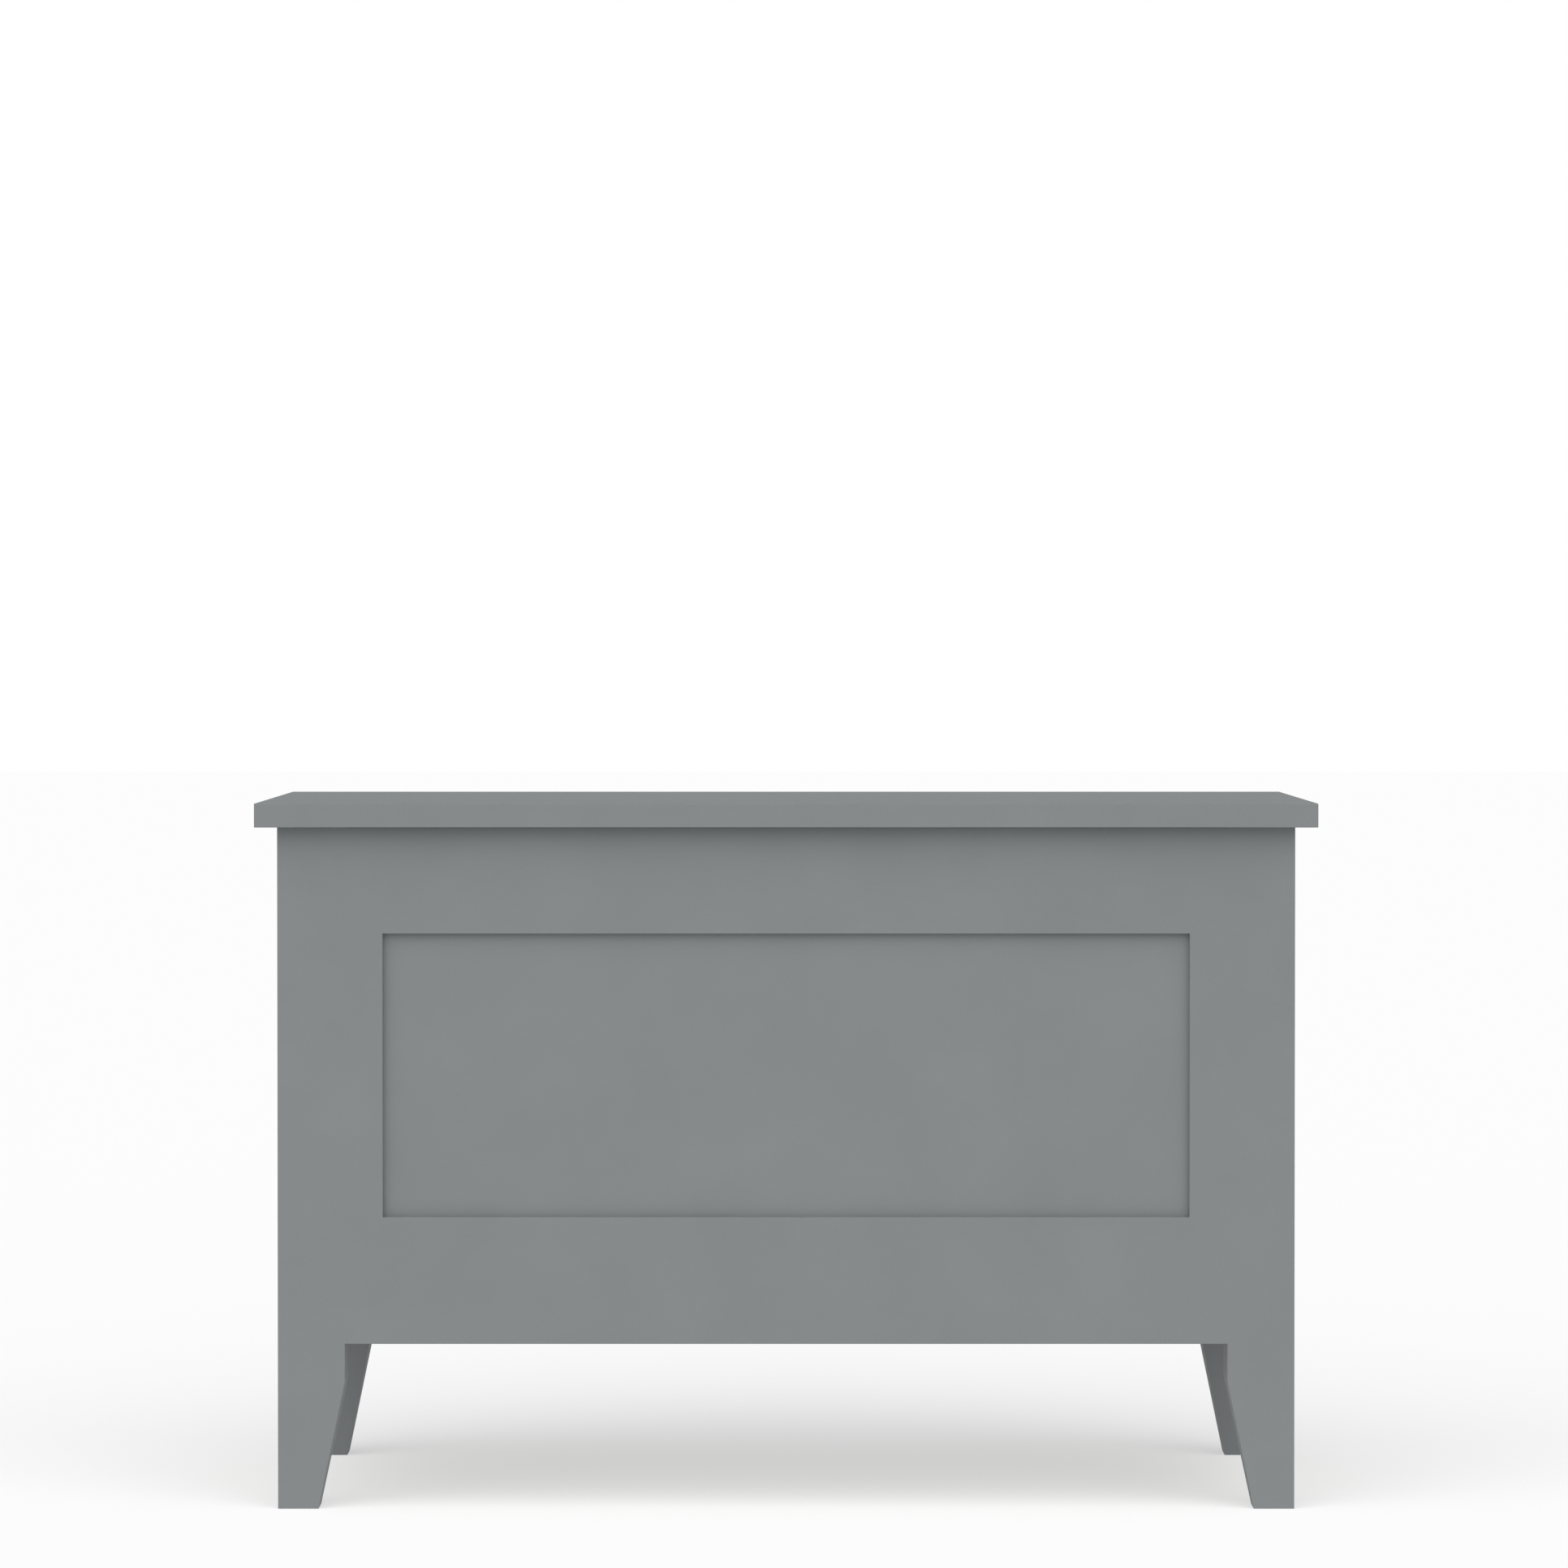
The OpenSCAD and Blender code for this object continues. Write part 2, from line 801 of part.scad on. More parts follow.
front_left_post();
front_right_post();
back_left_post();
back_right_post();
front_top_rail();
front_bottom_rail();
front_left_stile();
front_right_stile();
front_panel();
left_top_rail();
left_bottom_rail();
left_front_stile();
left_back_stile();
left_panel();
right_top_rail();
right_bottom_rail();
right_front_stile();
right_back_stile();
right_panel();
back_top_rail();
back_bottom_rail();
back_panel();
floor_panel();
front_cleat();
back_cleat();
left_cleat();
right_cleat();
frame_dowels();
cleat_screws();
floor_screws();
lid_bumpers();
left_hinge_box_leaf();
right_hinge_box_leaf();
hinge_pins();
hinge_box_screws();
left_stay_base();
right_stay_base();
stay_base_pivots();
stay_washers();
stay_base_screws();
lid_panel();
left_lid_batten();
right_lid_batten();
batten_screws();
left_hinge_lid_leaf();
right_hinge_lid_leaf();
hinge_lid_screws();
left_stay_lid_bracket();
right_stay_lid_bracket();
stay_lid_pins();
stay_lid_screws();
left_stay_lever();
left_stay_elbow_pin();
left_stay_link();
right_stay_lever();
right_stay_elbow_pin();
right_stay_link();
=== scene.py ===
# %% [markdown]
# # A painted wooden toy box
# The box is joinery: posts, rails, stiles and panels, with steel hinges and stays under the lid.
# The frame already holds every board and every piece of hardware at its right size. So this lesson
# doesn't build the box again. It does what a finisher does in the workshop: it eases the sharp
# edges that hands can reach, paints the wood, and gives steel, nylon, rubber and bare wood their
# own surfaces.

# %% Load the frame
import json
import math

import bmesh
import bpy
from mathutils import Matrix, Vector
from mathutils.bvhtree import BVHTree


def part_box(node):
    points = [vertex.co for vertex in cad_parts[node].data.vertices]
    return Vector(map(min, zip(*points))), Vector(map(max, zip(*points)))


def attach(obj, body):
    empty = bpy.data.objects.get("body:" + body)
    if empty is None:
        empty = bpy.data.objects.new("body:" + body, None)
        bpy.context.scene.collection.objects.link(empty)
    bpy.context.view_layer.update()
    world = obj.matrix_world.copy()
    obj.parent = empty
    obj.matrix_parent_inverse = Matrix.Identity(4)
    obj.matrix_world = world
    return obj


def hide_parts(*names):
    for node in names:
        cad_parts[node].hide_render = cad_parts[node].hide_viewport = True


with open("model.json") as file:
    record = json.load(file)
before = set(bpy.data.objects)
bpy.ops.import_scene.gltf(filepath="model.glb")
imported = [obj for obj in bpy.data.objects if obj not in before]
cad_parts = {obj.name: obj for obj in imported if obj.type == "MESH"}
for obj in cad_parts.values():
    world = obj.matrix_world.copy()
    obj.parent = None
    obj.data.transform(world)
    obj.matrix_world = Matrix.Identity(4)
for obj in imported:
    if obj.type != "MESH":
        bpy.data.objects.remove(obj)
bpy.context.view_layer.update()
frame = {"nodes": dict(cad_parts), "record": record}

BODY_OF = {
    node: body
    for body, nodes in frame["record"]["behaviour"]["bodies"].items()
    for node in nodes
}
SLOT_OF = {part["node"]: part["material_slot"] for part in frame["record"]["subparts"]}
MM = 0.001
print("nodes:", len(BODY_OF), "bodies:", sorted(set(BODY_OF.values())))

# %% [markdown]
# ## The camera
# The box is seen from the front, almost square on, from the eye height of somebody standing well
# back with a long lens. A long lens keeps the sides nearly parallel. The camera tilts down by only
# a little over a degree, so the box stands low in the view with empty space above it. The camera
# could be made to track the box with a constraint, but a fixed height and tilt keep the view easy
# to repeat.

# %% Camera
LENS_MM = 155.2
SENSOR_MM = 36.0
CAMERA_SIDE = -0.0017
CAMERA_DISTANCE = 5.5418
CAMERA_HEIGHT = 0.6885
CAMERA_TILT_DEG = 1.215


def make_camera():
    data = bpy.data.cameras.new("camera")
    data.lens = LENS_MM
    data.sensor_width = SENSOR_MM
    camera = bpy.data.objects.new("camera", data)
    camera.location = (CAMERA_SIDE, -CAMERA_DISTANCE, CAMERA_HEIGHT)
    camera.rotation_euler = (math.radians(90 - CAMERA_TILT_DEG), 0, 0)
    bpy.context.collection.objects.link(camera)
    bpy.context.scene.camera = camera
    return camera


print("camera at", tuple(make_camera().location))

# %% [markdown]
# ## Eased edges
# A joiner never leaves a board's edge knife-sharp. Once the box is glued up, sandpaper takes about
# half a millimetre to a millimetre off every edge that a hand can reach, and paint would not stay
# on a sharper one. An edge inside a glued joint stays square, or the joint would show as a groove.
# A Bevel modifier can't tell the two kinds of edge apart. So each board is copied, and an edge of
# the copy is bevelled only if it is convex and no other piece touches it. Where a neighbour
# touches only part of an edge, the copy is first cut there, so that the free part can be eased on
# its own.

# %% Find the edges that no other piece touches
TOUCH = 0.3 * MM  # a piece nearer than this touches the edge
WELD = 0.002 * MM  # corners nearer than this are one corner
FLAT_DEG = 0.3  # triangles that turn by less than this are one flat face
SHARP_DEG = 35.0  # an edge that turns outwards by more than this is sharp


def tree_of(node):
    """A search tree over a piece's surface, to find how near it is."""
    work = bmesh.new()
    work.from_mesh(frame["nodes"][node].data)
    tree = BVHTree.FromBMesh(work)
    work.free()
    return tree


TREES = {node: tree_of(node) for node in BODY_OF}
BOXES = {node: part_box(node) for node in BODY_OF}


def neighbours(node):
    """The pieces whose boxes reach this piece's box."""
    low, high = BOXES[node]
    near = []
    for other, (other_low, other_high) in BOXES.items():
        reach = all(
            other_low[i] - TOUCH <= high[i] and low[i] - TOUCH <= other_high[i]
            for i in range(3)
        )
        if other != node and reach:
            near.append(other)
    return near


def is_free(edge, near):
    """Whether no neighbour touches the middle of the edge."""
    middle = (edge.verts[0].co + edge.verts[1].co) / 2
    return all(TREES[other].find_nearest(middle, TOUCH)[0] is None for other in near)


print("pieces that touch the front top rail:", len(neighbours("front_top_rail")))

# %% [markdown]
# The copy starts as loose triangles, as every imported solid does. Its doubles are merged and its
# flat faces joined up again, because a bevel needs real edges between whole faces. Then it is cut
# at the ends of every board that touches it, so that each edge is either free or covered for its
# whole length. The last function turns such a worked copy into an object.

# %% Copy a piece
END_MARGIN = 2 * MM  # a cut nearer than this to a board's end would leave a sliver
BOARDS = [
    node for node in BODY_OF
    if SLOT_OF[node] in ("painted_wood", "plain_wood") and node != "frame_dowels"
]


def whole_copy(node):
    """A copy of a piece with real edges between whole faces."""
    work = bmesh.new()
    work.from_mesh(frame["nodes"][node].data)
    bmesh.ops.remove_doubles(work, verts=work.verts, dist=WELD)
    bmesh.ops.dissolve_limit(
        work, angle_limit=math.radians(FLAT_DEG), verts=work.verts, edges=work.edges
    )
    return work


def cut_at_neighbours(work, node, near):
    """Cut the copy's edges where a neighbouring board starts or ends."""
    low, high = BOXES[node]
    for axis in range(3):
        normal = Vector([float(i == axis) for i in range(3)])
        places = {
            round(end[axis], 6)
            for other in near if other in BOARDS
            for end in BOXES[other]
        }
        for place in sorted(places):
            if low[axis] + END_MARGIN < place < high[axis] - END_MARGIN:
                bmesh.ops.bisect_plane(
                    work, geom=work.verts[:] + work.edges[:] + work.faces[:],
                    plane_co=normal * place, plane_no=normal,
                )


def new_object(name, work):
    """Turn a finished bmesh into an object at the origin."""
    mesh = bpy.data.meshes.new(name)
    work.to_mesh(mesh)
    work.free()
    thing = bpy.data.objects.new(name, mesh)
    bpy.context.collection.objects.link(thing)
    return thing


print("boards among the pieces:", len(BOARDS))

# %% [markdown]
# An edge is sharp and convex if its two faces turn outwards by more than a set angle. Of those,
# only the free ones are rounded. The finished copy rides on the same body as the piece that it
# stands for, so it moves with the lid or the stays.

# %% Round its free edges
FINISHED = {}  # the copy that stands for each piece


def sharp_edges(work):
    """The edges that turn outwards sharply."""
    return [
        edge for edge in work.edges
        if edge.is_manifold and edge.calc_face_angle_signed(0) > math.radians(SHARP_DEG)
    ]


def eased(node, radius_mm, segments=3, cuts=True):
    """Make a copy of a piece with its free edges rounded, which stands for the piece."""
    near = neighbours(node)
    work = whole_copy(node)
    if cuts:
        cut_at_neighbours(work, node, near)
    work.normal_update()
    free = [edge for edge in sharp_edges(work) if is_free(edge, near)]
    if free:
        rounded = bmesh.ops.bevel(
            work, geom=free, offset=radius_mm * MM, offset_type="OFFSET", affect="EDGES",
            segments=segments, profile=0.5, material=-1, clamp_overlap=True,
        )
        for face in rounded["faces"]:
            face.smooth = True
    piece = new_object("eased_" + node, work)
    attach(piece, BODY_OF[node])
    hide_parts(node)
    FINISHED[node] = piece
    return len(free)


def ease_all(nodes, radius_mm, segments=3, cuts=True):
    """Ease every piece in a list by the same radius."""
    count = sum(eased(node, radius_mm, segments, cuts) for node in nodes)
    print(f"{len(nodes)} pieces, {count} free edges eased by {radius_mm} mm")


# %% [markdown]
# Each leg stands on its own and gets knocked, so its edges are rounded a little more than the
# rest. The thin panels are held in grooves and have no free edge, except round the air slots at
# the back.

# %% Ease the woodwork
LEG_RADIUS_MM = 1.0
BOARD_RADIUS_MM = 0.6
PANELS = ["front_panel", "left_panel", "right_panel"]
POSTS = [node for node in BOARDS if node.endswith("_post")]
OTHER_BOARDS = [node for node in BOARDS if node not in PANELS + POSTS]

ease_all(POSTS, LEG_RADIUS_MM)
ease_all(OTHER_BOARDS, BOARD_RADIUS_MM)

# %% [markdown]
# ## Steel hardware
# Hinge leaves, levers and links are stamped from strip and then tumbled, which leaves a tiny
# radius all round. Rivet heads are domed by the tool that closes them. The same easing makes both:
# a small radius for stamped edges, and almost the whole height of the head for a dome.

# %% Ease the hardware
STAMPED_RADIUS_MM = 0.25
RIVET_RADIUS_MM = 1.0
PIVOT_RADIUS_MM = 2.0
MOULDED_RADIUS_MM = 0.2
STAMPED = [
    side + piece for side in ("left_", "right_") for piece in (
        "hinge_box_leaf", "hinge_lid_leaf", "stay_base", "stay_lever", "stay_link",
        "stay_lid_bracket",
    )
]
RIVETS = ["hinge_pins", "stay_lid_pins", "left_stay_elbow_pin", "right_stay_elbow_pin"]

ease_all(STAMPED, STAMPED_RADIUS_MM, segments=2, cuts=False)
ease_all(RIVETS, RIVET_RADIUS_MM, segments=4, cuts=False)
ease_all(["stay_base_pivots"], PIVOT_RADIUS_MM, segments=5, cuts=False)
ease_all(["lid_bumpers", "stay_washers"], MOULDED_RADIUS_MM, segments=2, cuts=False)

# %% [markdown]
# ## Colour and node helpers
# Paint makers give colours as hex codes for a screen. The renderer works with light, so one
# function turns each code to linear values. Another adds a shader node. It sets the node's own
# settings, the colour stops of a ramp, and then its sockets, each either to a value or to another
# node's output. Nodes could be added and linked one line at a time, but then the wiring hides what
# a finish is made of.

# %% Colour and nodes
NOISE_LOW, NOISE_HIGH = 0.3, 0.7  # nearly all of a noise's values lie between these


def linear(code):
    """A screen colour as linear values."""
    channels = [int(code[i:i + 2], 16) / 255 for i in (1, 3, 5)]
    return tuple(
        c / 12.92 if c <= 0.04045 else ((c + 0.055) / 1.055) ** 2.4 for c in channels
    ) + (1.0,)


def wire(tree, node, sockets):
    """Set a node's sockets, each to a value or to another node's output."""
    for name, value in sockets.items():
        if isinstance(value, bpy.types.NodeSocket):
            tree.links.new(value, node.inputs[name])
        else:
            node.inputs[name].default_value = value


def add(tree, kind, sockets=None, stops=(), **settings):
    """Add a shader node with its settings, its colour stops and its sockets."""
    node = tree.nodes.new(kind)
    for name, value in settings.items():
        setattr(node, name, value)
    for i, (position, code) in enumerate(stops):
        node.color_ramp.elements[i].position = position
        node.color_ramp.elements[i].color = linear(code)
    wire(tree, node, sockets or {})
    return node


print("mid grey in linear light:", [round(c, 3) for c in linear("#808080")[:3]])

# %% [markdown]
# ## A new material
# Every finish starts from the same three things: a surface shader, the material's output, and the
# place on the piece that its patterns are drawn by. That place could come from an unwrapped map,
# but the boards have none and need none: their own coordinates carry the grain straight through
# the wood. A pattern's scale is worked out from its real size, and wood grain is the same pattern
# drawn out along one axis.

# %% Start a material
def new_material(name):
    """A material with only its surface, and the place that its patterns are drawn by."""
    material = bpy.data.materials.new(name)
    material.use_nodes = True
    tree = material.node_tree
    tree.nodes.clear()
    surface = add(tree, "ShaderNodeBsdfPrincipled")
    add(tree, "ShaderNodeOutputMaterial", {"Surface": surface.outputs["BSDF"]})
    place = add(tree, "ShaderNodeTexCoord").outputs["Object"]
    return material, tree, surface, place


def per_mm(size_mm):
    """Pattern scale that gives features of about this size."""
    return 1 / (size_mm * MM)


def drawn_out(along, ratio):
    """Scale of coordinates that run slowly along one axis, so that a pattern is long there."""
    return [1 / ratio if axis == along else 1.0 for axis in "XYZ"]


print("scale of a 2 mm pattern:", per_mm(2), "drawn out along X:", drawn_out("X", 2))

# %% [markdown]
# ## Eggshell furniture paint
# Water-based furniture enamel, sprayed or rolled over primer. The film hides the grain, but it
# isn't flat: it dries with a fine stipple, and on solid wood the grain still swells up through it
# as faint long ridges. Eggshell paint scatters nearly all of its light, so its highlights are wide
# and faint. It could be one plain colour, but that would look like plastic, so two noises lift the
# surface and vary the gloss. The stipple of real paint is under a millimetre across. It is drawn a
# little coarser here, because otherwise it would be too fine to show.

# %% Paint
PAINT = "#747879"
PAINT_THIN = "#727576"
CLOUD_MM = 70
STIPPLE_MM, STIPPLE_DEPTH_MM = 2.2, 0.05
RIDGE_MM, RIDGE_DEPTH_MM, RIDGE_STRETCH = 1.6, 0.04, 40
RELIEF_STRENGTH = 0.6


def furniture_paint(name, grain):
    material, tree, surface, place = new_material(name)
    cloud = add(tree, "ShaderNodeTexNoise", {
        "Vector": place, "Scale": per_mm(CLOUD_MM), "Detail": 3.0, "Roughness": 0.6,
    })
    colour = add(
        tree, "ShaderNodeValToRGB", {"Fac": cloud.outputs["Fac"]},
        stops=[(NOISE_LOW, PAINT_THIN), (NOISE_HIGH, PAINT)],
    )
    stipple = add(tree, "ShaderNodeTexNoise", {
        "Vector": place, "Scale": per_mm(STIPPLE_MM), "Detail": 2.0,
    })
    gloss = add(tree, "ShaderNodeMapRange", {
        "Value": stipple.outputs["Fac"], "From Min": NOISE_LOW, "From Max": NOISE_HIGH,
        "To Min": 0.7, "To Max": 0.8,
    })
    along_grain = add(tree, "ShaderNodeMapping", {
        "Vector": place, "Scale": drawn_out(grain, RIDGE_STRETCH),
    })
    ridges = add(tree, "ShaderNodeTexNoise", {
        "Vector": along_grain.outputs["Vector"], "Scale": per_mm(RIDGE_MM), "Detail": 2.0,
    })
    swollen_grain = add(tree, "ShaderNodeBump", {
        "Height": ridges.outputs["Fac"], "Strength": RELIEF_STRENGTH,
        "Distance": RIDGE_DEPTH_MM * MM,
    })
    relief = add(tree, "ShaderNodeBump", {
        "Height": stipple.outputs["Fac"], "Strength": RELIEF_STRENGTH,
        "Distance": STIPPLE_DEPTH_MM * MM, "Normal": swollen_grain.outputs["Normal"],
    })
    wire(tree, surface, {
        "Base Color": colour.outputs["Color"], "Roughness": gloss.outputs["Result"],
        "IOR": 1.5, "Specular IOR Level": 0.35, "Normal": relief.outputs["Normal"],
    })
    return material


PAINT_ALONG = {
    "X": furniture_paint("eggshell_paint_grain_left_to_right", "X"),
    "Y": furniture_paint("eggshell_paint_grain_front_to_back", "Y"),
    "Z": furniture_paint("eggshell_paint_grain_upright", "Z"),
}
print("paints:", [paint.name for paint in PAINT_ALONG.values()])

# %% [markdown]
# ## Birch plywood
# The floor of the box is birch plywood. Its face is peeled from the log in one long sheet, so its
# growth rings show as wide wandering bands, with fine dark pores along the grain. A wave pattern
# could make the bands, but it repeats too evenly. A drawn-out noise that is folded to and fro many
# times wanders as real rings do. Real pores are a fraction of a millimetre wide, and are drawn
# coarser so that they show.

# %% Plywood
BAND_MM, BAND_STRETCH, FOLDS = 60, 7, 9.0
PORE_MM, PORE_DEPTH_MM, PORE_STRETCH = 1.4, 0.05, 25


def birch_plywood():
    material, tree, surface, place = new_material("birch_plywood_face")
    along_bands = add(tree, "ShaderNodeMapping", {
        "Vector": place, "Scale": drawn_out("X", BAND_STRETCH),
    })
    wander = add(tree, "ShaderNodeTexNoise", {
        "Vector": along_bands.outputs["Vector"], "Scale": per_mm(BAND_MM), "Detail": 3.0,
        "Distortion": 0.6,
    })
    rings = add(
        tree, "ShaderNodeMath", {0: wander.outputs["Fac"], 1: FOLDS}, operation="MULTIPLY"
    )
    band = add(tree, "ShaderNodeMath", {0: rings.outputs["Value"], 1: 1.0}, operation="PINGPONG")
    wood = add(
        tree, "ShaderNodeValToRGB", {"Fac": band.outputs["Value"]},
        stops=[(NOISE_LOW, "#d3b384"), (NOISE_HIGH, "#e3cba1")],
    )
    along_pores = add(tree, "ShaderNodeMapping", {
        "Vector": place, "Scale": drawn_out("X", PORE_STRETCH),
    })
    pores = add(tree, "ShaderNodeTexNoise", {
        "Vector": along_pores.outputs["Vector"], "Scale": per_mm(PORE_MM), "Detail": 2.0,
    })
    dark = add(tree, "ShaderNodeMapRange", {
        "Value": pores.outputs["Fac"], "From Min": NOISE_LOW, "From Max": 0.55,
        "To Min": 0.82, "To Max": 1.0,
    })
    colour = add(tree, "ShaderNodeVectorMath", {
        0: wood.outputs["Color"], "Scale": dark.outputs["Result"],
    }, operation="SCALE")
    relief = add(tree, "ShaderNodeBump", {
        "Height": pores.outputs["Fac"], "Strength": 0.4, "Distance": PORE_DEPTH_MM * MM,
    })
    wire(tree, surface, {
        "Base Color": colour.outputs["Vector"], "Roughness": 0.55, "IOR": 1.5,
        "Normal": relief.outputs["Normal"],
    })
    return material


PLYWOOD = birch_plywood()
print("floor panel:", PLYWOOD.name)

# %% [markdown]
# ## Beech
# The cleats and dowels are beech: even and pinkish, with soft bands along the grain and covered in
# the short brown flecks that make beech easy to recognise. A noise would blur the flecks, so they
# are cells drawn out along the grain. Real flecks are under a millimetre wide, and are drawn
# coarser so that they show.

# %% Beech
BEECH_BAND_MM, BEECH_BAND_STRETCH = 9, 18
FLECK_MM, FLECK_DEPTH_MM, FLECK_STRETCH = 1.8, 0.04, 5


def beech(name, grain):
    material, tree, surface, place = new_material(name)
    along_bands = add(tree, "ShaderNodeMapping", {
        "Vector": place, "Scale": drawn_out(grain, BEECH_BAND_STRETCH),
    })
    bands = add(tree, "ShaderNodeTexNoise", {
        "Vector": along_bands.outputs["Vector"], "Scale": per_mm(BEECH_BAND_MM), "Detail": 3.0,
    })
    wood = add(
        tree, "ShaderNodeValToRGB", {"Fac": bands.outputs["Fac"]},
        stops=[(NOISE_LOW, "#c39d74"), (NOISE_HIGH, "#d6b48b")],
    )
    along_flecks = add(tree, "ShaderNodeMapping", {
        "Vector": place, "Scale": drawn_out(grain, FLECK_STRETCH),
    })
    flecks = add(tree, "ShaderNodeTexVoronoi", {
        "Vector": along_flecks.outputs["Vector"], "Scale": per_mm(FLECK_MM),
    })
    dark = add(tree, "ShaderNodeMapRange", {
        "Value": flecks.outputs["Distance"], "From Min": 0.1, "From Max": 0.3,
        "To Min": 0.7, "To Max": 1.0,
    })
    colour = add(tree, "ShaderNodeVectorMath", {
        0: wood.outputs["Color"], "Scale": dark.outputs["Result"],
    }, operation="SCALE")
    relief = add(tree, "ShaderNodeBump", {
        "Height": flecks.outputs["Distance"], "Strength": 0.3, "Distance": FLECK_DEPTH_MM * MM,
    })
    wire(tree, surface, {
        "Base Color": colour.outputs["Vector"], "Roughness": 0.5, "IOR": 1.5,
        "Normal": relief.outputs["Normal"],
    })
    return material


BEECH_ALONG = {
    "X": beech("beech_grain_left_to_right", "X"),
    "Y": beech("beech_grain_front_to_back", "Y"),
}
print("cleats and dowels:", [wood.name for wood in BEECH_ALONG.values()])

# %% [markdown]
# ## Zinc plate
# The hardware is mild steel with a bright zinc plate: silvery with a cool tint, very slightly
# cloudy where the plate is thicker, and finely scratched from tumbling. The scratches are too
# shallow to cut into the mesh, so they are a bump. Real ones are about a tenth of a millimetre
# wide, and are drawn coarser so that they show.

# %% Plated steel
PLATE_CLOUD_MM = 9
SCRATCH_MM, SCRATCH_DEPTH_MM, SCRATCH_STRETCH = 0.8, 0.01, 12


def zinc_plate():
    material, tree, surface, place = new_material("bright_zinc_plated_steel")
    cloud = add(tree, "ShaderNodeTexNoise", {
        "Vector": place, "Scale": per_mm(PLATE_CLOUD_MM), "Detail": 4.0, "Roughness": 0.6,
    })
    colour = add(
        tree, "ShaderNodeValToRGB", {"Fac": cloud.outputs["Fac"]},
        stops=[(NOISE_LOW, "#bec2c4"), (NOISE_HIGH, "#cfd2d1")],
    )
    gloss = add(tree, "ShaderNodeMapRange", {
        "Value": cloud.outputs["Fac"], "From Min": NOISE_LOW, "From Max": NOISE_HIGH,
        "To Min": 0.3, "To Max": 0.37,
    })
    along_scratches = add(tree, "ShaderNodeMapping", {
        "Vector": place, "Scale": drawn_out("X", SCRATCH_STRETCH),
    })
    scratches = add(tree, "ShaderNodeTexNoise", {
        "Vector": along_scratches.outputs["Vector"], "Scale": per_mm(SCRATCH_MM), "Detail": 2.0,
    })
    relief = add(tree, "ShaderNodeBump", {
        "Height": scratches.outputs["Fac"], "Strength": 0.3, "Distance": SCRATCH_DEPTH_MM * MM,
    })
    wire(tree, surface, {
        "Base Color": colour.outputs["Color"], "Metallic": 1.0,
        "Roughness": gloss.outputs["Result"], "Normal": relief.outputs["Normal"],
    })
    return material


ZINC = zinc_plate()
print("hinges, stays and screws:", ZINC.name)

# %% [markdown]
# ## Nylon and rubber
# The stay's washers are natural nylon, waxy and off-white. The lid comes down on small bumpers of
# black rubber, which is dull. Both are moulded, so both take a fine grain from the mould, drawn a
# little coarser here so that it shows. They could be two materials made apart, but they differ
# only in colour, grain and gloss, so one function makes them both. The grain changes the tone and
# the gloss a little, and lifts the surface by some hundredths of a millimetre.

# %% Nylon and rubber
MOULD_DEPTH_MM = 0.03


def moulded(name, dark, light, grain_mm, rough_low, rough_high):
    material, tree, surface, place = new_material(name)
    grain = add(tree, "ShaderNodeTexNoise", {
        "Vector": place, "Scale": per_mm(grain_mm), "Detail": 3.0,
    })
    colour = add(
        tree, "ShaderNodeValToRGB", {"Fac": grain.outputs["Fac"]},
        stops=[(NOISE_LOW, dark), (NOISE_HIGH, light)],
    )
    gloss = add(tree, "ShaderNodeMapRange", {
        "Value": grain.outputs["Fac"], "To Min": rough_low, "To Max": rough_high,
    })
    relief = add(tree, "ShaderNodeBump", {
        "Height": grain.outputs["Fac"], "Strength": 0.4, "Distance": MOULD_DEPTH_MM * MM,
    })
    wire(tree, surface, {
        "Base Color": colour.outputs["Color"], "Roughness": gloss.outputs["Result"],
        "IOR": 1.52, "Normal": relief.outputs["Normal"],
    })
    return material


NYLON = moulded("natural_nylon", "#dedacb", "#ece9dd", 1.2, 0.38, 0.5)
RUBBER = moulded("black_rubber", "#161617", "#232324", 0.8, 0.7, 0.85)
print("washers and bumpers:", NYLON.name, RUBBER.name)

# %% [markdown]
# ## Put the finishes on
# A board's grain runs along its length. So the paint, and the bare wood, take the direction of the
# longest side of each board. Each board could be given its direction by hand, but this way a new
# board needs no new line.

# %% Assign materials
def grain_of(node):
    """The axis along a piece's longest side."""
    low, high = BOXES[node]
    sides = [high[i] - low[i] for i in range(3)]
    return "XYZ"[sides.index(max(sides))]


def finish_of(node):
    """The material of a piece, from what it is made of and the way its grain runs."""
    slot = SLOT_OF[node]
    if node == "floor_panel":
        return PLYWOOD
    if slot == "painted_wood":
        return PAINT_ALONG[grain_of(node)]
    if slot == "plain_wood":
        return BEECH_ALONG[grain_of(node)]
    return {"plated_steel": ZINC, "nylon": NYLON, "rubber": RUBBER}[slot]


DOWNWARDS = -0.5  # a face whose normal is below this looks down

for node in BODY_OF:
    shown = FINISHED.get(node, frame["nodes"][node])
    shown.data.materials.clear()
    shown.data.materials.append(finish_of(node))

# The floor panel shows its bare face to the toys. Its underside was painted with the box.
underside = FINISHED["floor_panel"].data
underside.materials.append(PAINT_ALONG["X"])
for face in underside.polygons:
    if face.normal.z < DOWNWARDS:
        face.material_index = 1
print("finishes:", sorted({finish_of(node).name for node in BODY_OF}))

# %% [markdown]
# ## The studio floor
# A plain white floor, as for a catalogue. The floor is a light table: half of its white is its own
# glow, so the shadow under the box stays pale. A strong fill light could do that too, but it would
# also wash out the shadows on the box.

# %% Floor
FLOOR_SIZE = 60.0
FLOOR_WHITE = "#b8b8b8"
FLOOR_GLOW = 0.515


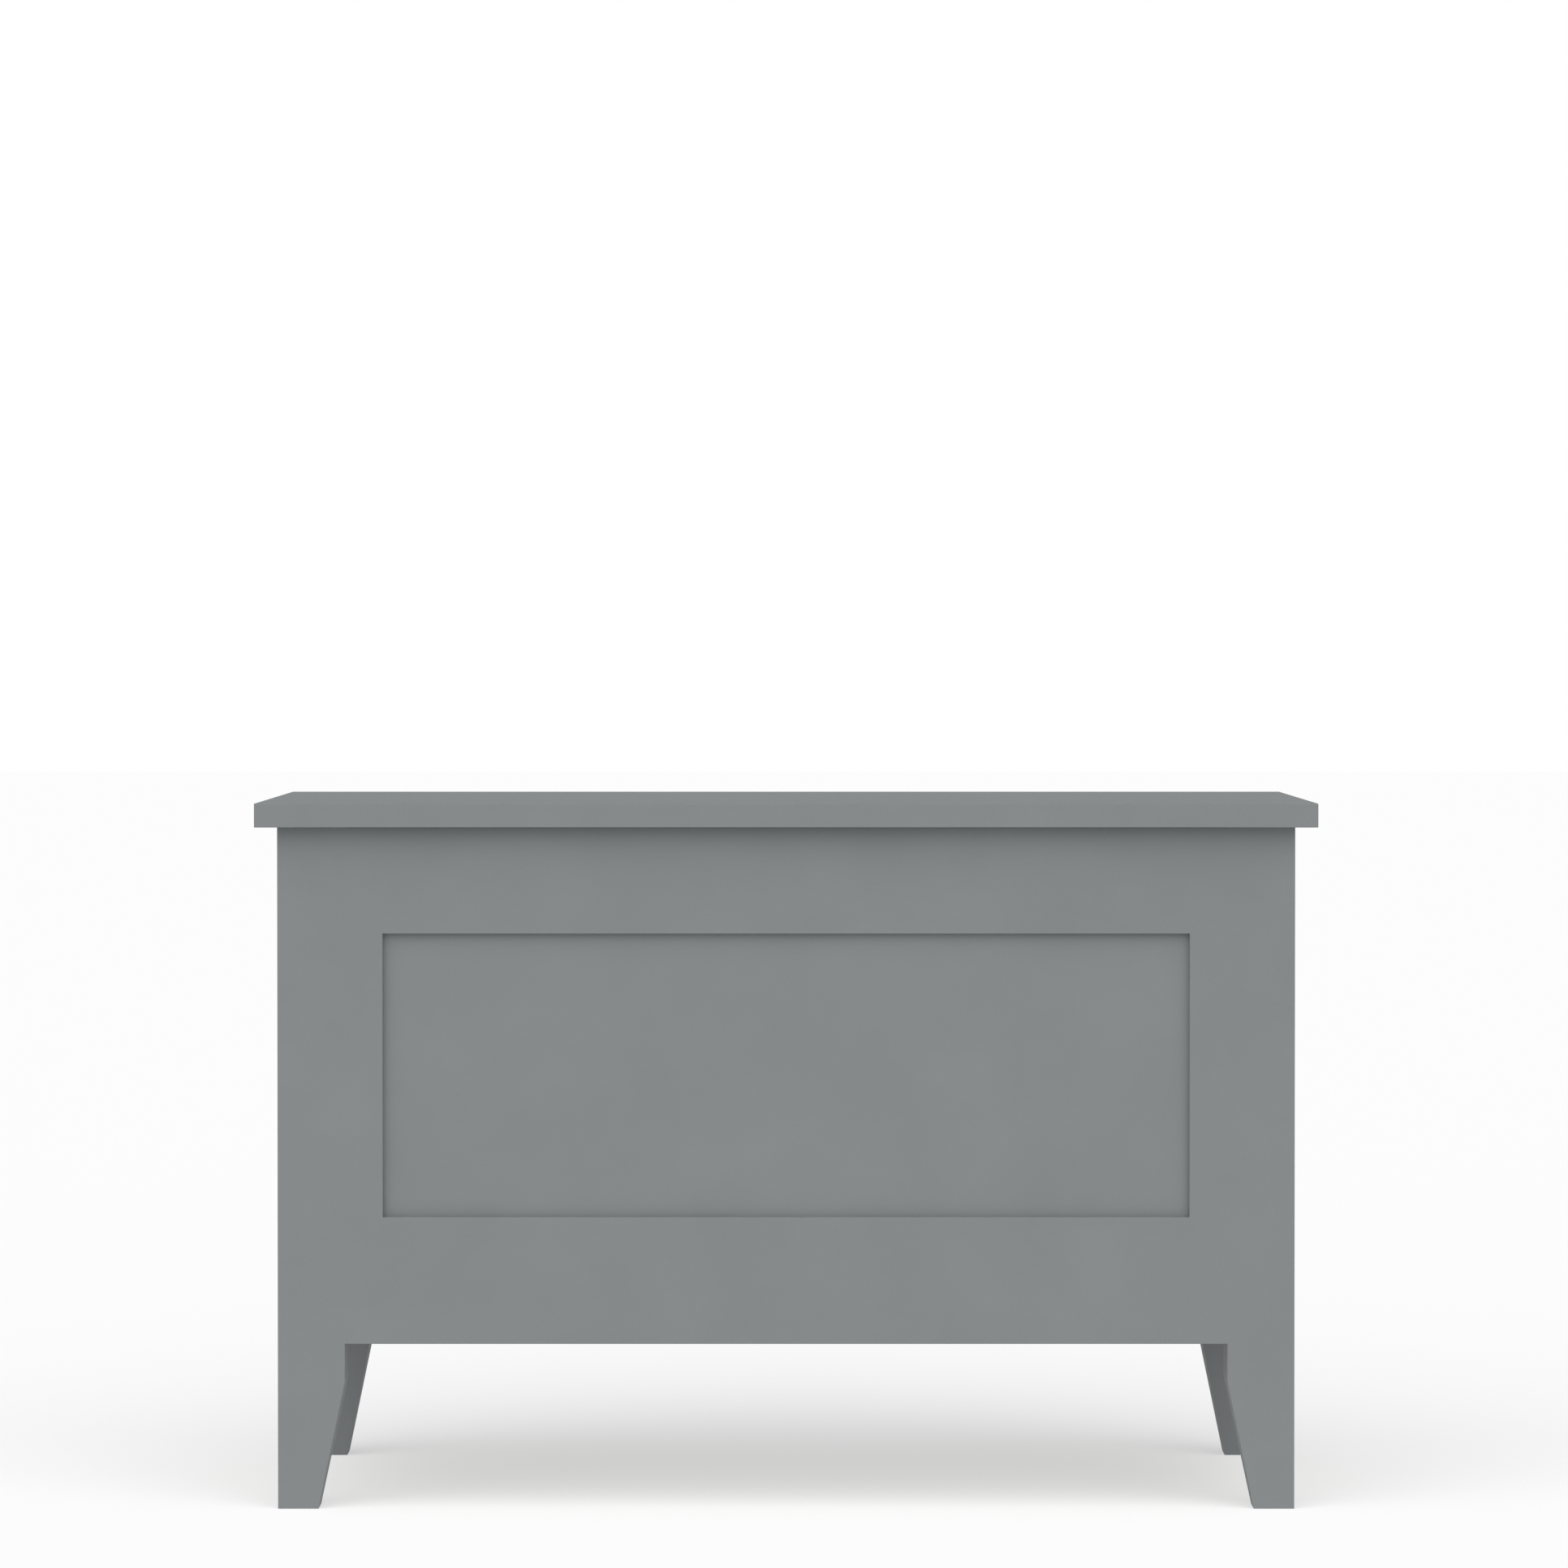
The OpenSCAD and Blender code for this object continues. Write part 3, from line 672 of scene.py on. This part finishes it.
def studio_floor():
    work = bmesh.new()
    bmesh.ops.create_grid(work, x_segments=2, y_segments=2, size=FLOOR_SIZE / 2)
    floor = new_object("studio_floor", work)
    material, tree, surface, _ = new_material("white_studio_floor")
    wire(tree, surface, {
        "Base Color": linear(FLOOR_WHITE), "Roughness": 0.9, "Specular IOR Level": 0.0,
        "Emission Color": (1, 1, 1, 1), "Emission Strength": FLOOR_GLOW,
    })
    floor.data.materials.append(material)
    return floor


print("floor:", tuple(studio_floor().dimensions))

# %% [markdown]
# ## Soft white light
# One big soft light in front and above, a little to the left, gives the recess and the overhang
# their shadows. The rest is a weak white light from all round, which keeps every side of the box
# readable. The eye sees the surroundings as plain white, and so, almost, do the reflections in the
# paint. Lamps with shades could be placed round the box as in a real studio, but one wide sun lamp
# is just as soft and lights the floor evenly.

# %% Light
def overhead_light(strength, height_deg, turn_deg, spread_deg):
    """A soft light so large and far away that it lights the whole floor evenly."""
    data = bpy.data.lights.new("overhead", "SUN")
    data.energy = strength
    data.angle = math.radians(spread_deg)
    light = bpy.data.objects.new("overhead", data)
    light.rotation_euler = (math.radians(90 - height_deg), 0, math.radians(turn_deg))
    bpy.context.collection.objects.link(light)


def white_surroundings(backdrop, reflected, fill):
    """A white backdrop for the eye, a little less in reflections, and a weak light on the box."""
    world = bpy.data.worlds.new("white_surroundings")
    world.use_nodes = True
    tree = world.node_tree
    tree.nodes.clear()
    path = add(tree, "ShaderNodeLightPath")
    on_box = add(tree, "ShaderNodeMapRange", {
        "Value": path.outputs["Is Glossy Ray"], "To Min": fill, "To Max": reflected,
    })
    level = add(tree, "ShaderNodeMapRange", {
        "Value": path.outputs["Is Camera Ray"], "To Min": on_box.outputs["Result"],
        "To Max": backdrop,
    })
    light = add(tree, "ShaderNodeBackground", {
        "Color": (1, 1, 1, 1), "Strength": level.outputs["Result"],
    })
    add(tree, "ShaderNodeOutputWorld", {"Surface": light.outputs["Background"]})
    bpy.context.scene.world = world


white_surroundings(backdrop=1.0, reflected=0.85, fill=0.28)
overhead_light(strength=2.96, height_deg=47, turn_deg=-4, spread_deg=90)
bpy.context.scene.view_settings.view_transform = "Standard"
